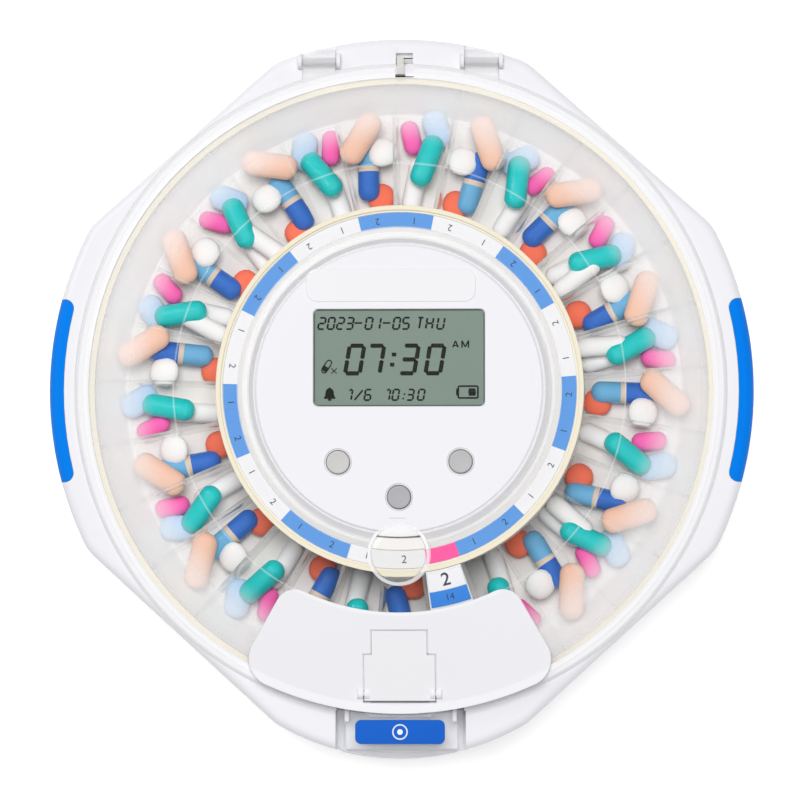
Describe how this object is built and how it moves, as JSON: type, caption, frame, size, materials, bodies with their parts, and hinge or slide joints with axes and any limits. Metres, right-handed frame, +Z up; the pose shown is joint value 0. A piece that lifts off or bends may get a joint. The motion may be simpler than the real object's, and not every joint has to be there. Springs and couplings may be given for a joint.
{
  "type": "automatic pill dispenser",
  "caption": "Round automatic pill dispenser with a turning pocket tray, clear hinged lid, magnifier, dispensing flap, press pad, clock dial with buttons, and key lock.",
  "frame": {"origin": "bottom centre of the whole object, on the surface that it stands on", "axes": "+Z up, -Y towards the press pad at the front, +X to the right"},
  "size_m": [0.228, 0.2328, 0.06],
  "materials": {
    "white": "gloss white moulding",
    "white_matt": "fine-textured white moulding",
    "rubber": "matt",
    "steel": "satin",
    "blue": "satin blue",
    "clear": "clear polished",
    "lcd": "display",
    "board": "solder mask",
    "dark": "matt",
    "cell": "printed sleeve",
    "cream": "translucent cream",
    "label": "printed",
    "blue_label": "printed blue",
    "grey": "satin grey",
    "nylon": "natural"
  },
  "bodies": {
    "base": {"base_shell": "white", "bottom_cover": "white_matt", "rubber_feet": "rubber", "cover_screws": "steel", "grip_left": "blue", "grip_right": "blue", "hub_column": "white", "dial_cap": "white", "lcd_window": "clear", "lcd_module": "lcd", "main_board": "board", "tact_switches": "dark", "buzzer": "dark", "drive_motor": "steel", "motor_screws": "steel", "batteries": "cell", "battery_contacts": "steel", "hinge_pins": "steel", "lock_collar": "steel"},
    "tray": {"tray_core": "cream", "tray_floor": "cream", "tray_wall": "cream", "tray_dividers": "clear", "label_ring": "label", "home_insert": "cream"},
    "lid": {"lid_shell": "clear", "magnifier_lens": "clear", "front_panel": "white", "flap_pin": "steel", "press_springs": "steel"},
    "pad": {"press_pad": "clear", "press_label": "blue_label"},
    "flap": {"dispensing_flap": "white"},
    "key_left": {"button_left": "grey"},
    "key_right": {"button_right": "grey"},
    "key_centre": {"button_centre": "grey"},
    "pinion": {"drive_gear": "nylon", "motor_shaft": "steel"},
    "lock": {"lock_cylinder": "steel"},
    "hook": {"lock_hook": "steel"},
    "door": {"battery_door": "white_matt"}
  },
  "joints": [
    {"name": "lid_hinge", "type": "hinge", "parent": "base", "child": "lid", "pos_m": [0, 0.10905, 0.042], "axis": [-1, 0, 0], "range_deg": [0, 95]},
    {"name": "tray_turn", "type": "hinge", "parent": "base", "child": "tray", "pos_m": [0, 0.00245, 0.019], "axis": [0, 0, 1], "continuous": true},
    {"name": "pinion_spin", "type": "hinge", "parent": "base", "child": "pinion", "pos_m": [0, 0.04213, 0.0214], "axis": [0, 0, 1], "continuous": true},
    {"name": "press_pad_push", "type": "slide", "parent": "lid", "child": "pad", "axis": [0, 0, -1], "range_m": [0, 0.0031], "stiffness_N_per_m": 350, "springref_m": -0.002, "deforming": ["press_springs"]},
    {"name": "flap_tip", "type": "hinge", "parent": "lid", "child": "flap", "pos_m": [0, -0.09535, 0.04764], "axis": [1, 0, 0], "range_deg": [0, 34]},
    {"name": "button_left_press", "type": "slide", "parent": "base", "child": "key_left", "axis": [0, 0, -1], "range_m": [0, 0.0008], "stiffness_N_per_m": 400, "springref_m": -0.001},
    {"name": "button_right_press", "type": "slide", "parent": "base", "child": "key_right", "axis": [0, 0, -1], "range_m": [0, 0.0008], "stiffness_N_per_m": 400, "springref_m": -0.001},
    {"name": "button_centre_press", "type": "slide", "parent": "base", "child": "key_centre", "axis": [0, 0, -1], "range_m": [0, 0.0008], "stiffness_N_per_m": 400, "springref_m": -0.001},
    {"name": "key_turn", "type": "hinge", "parent": "base", "child": "lock", "pos_m": [0, 0.11245, 0.033], "axis": [0, 1, 0], "range_deg": [0, 90]},
    {"name": "hook_slide", "type": "slide", "parent": "base", "child": "hook", "axis": [1, 0, 0], "range_m": [0, 0.0024]},
    {"name": "battery_door_tilt", "type": "hinge", "parent": "base", "child": "door", "pos_m": [0, 0.02945, 0.0025], "axis": [1, 0, 0], "range_deg": [0, 40]}
  ],
  "couplings": [
    {"joint": "pinion_spin", "follows": "tray_turn", "ratio": 4.8333},
    {"joint": "flap_tip", "follows": "press_pad_push", "rad_per_m": 191.04},
    {"joint": "key_turn", "follows": "hook_slide", "rad_per_m": 654.43}
  ]
}
